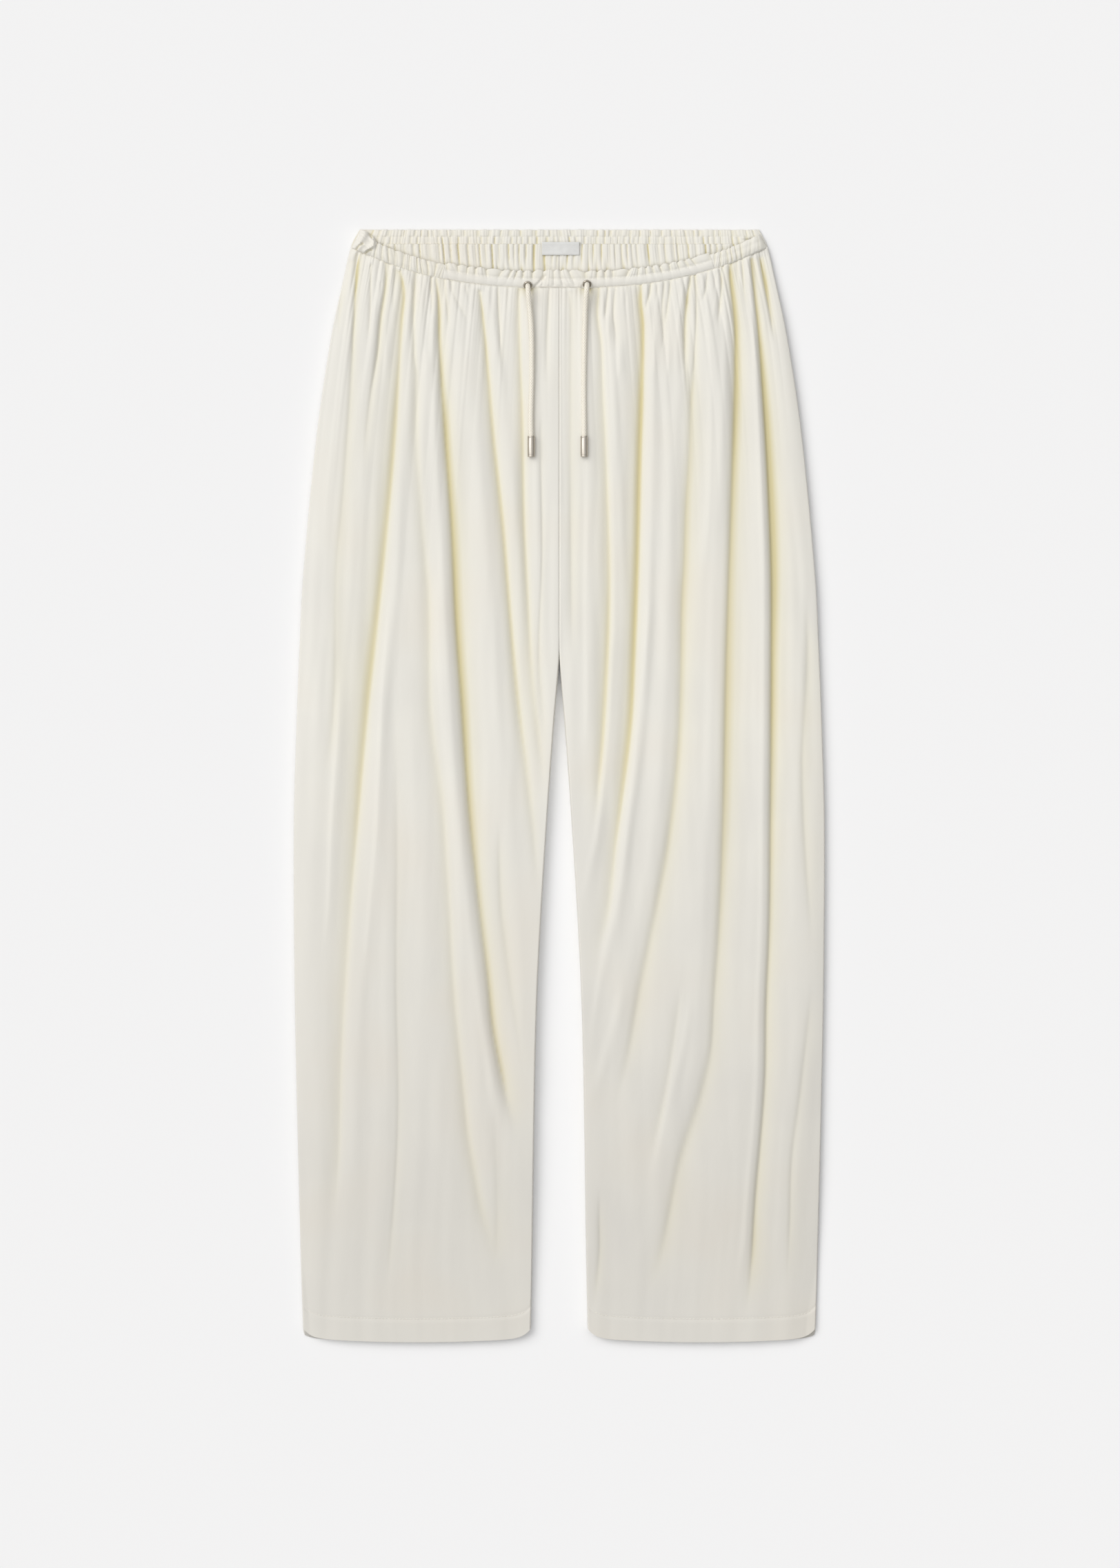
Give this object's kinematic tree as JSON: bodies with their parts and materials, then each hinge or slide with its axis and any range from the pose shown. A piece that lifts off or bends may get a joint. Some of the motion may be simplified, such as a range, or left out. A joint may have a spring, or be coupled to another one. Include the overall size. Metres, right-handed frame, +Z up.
{
  "type": "elastic-waist trousers",
  "caption": "Wide straight-leg trousers laid flat, with a gathered elastic waist, a frilled drawcord front, eyelets and metal-tipped cord ends.",
  "frame": {"origin": "on the surface that the garment lies on, under the middle of its outline", "axes": "+Z up from the surface through the front of the garment, +Y along the garment towards the waist, +X towards the wearer's left"},
  "size_m": [0.5002, 1.048, 0.0164],
  "materials": {
    "cloth": "ivory woven crepe, matte with a faint sheen",
    "label": "pale grey woven satin, bare",
    "cord": "ivory braid",
    "metal": "brushed silver tone"
  },
  "bodies": {
    "root": {"front_leg_left": "cloth", "front_leg_right": "cloth", "back_leg_left": "cloth", "back_leg_right": "cloth", "waistband_front": "cloth", "waistband_side_left": "cloth", "waistband_side_right": "cloth", "waistband_back": "cloth", "label": "label", "eyelet_right": "metal", "eyelet_left": "metal", "cord_right": "cord", "cord_end_right": "metal", "cord_left": "cord", "cord_end_left": "metal"}
  },
  "joints": []
}
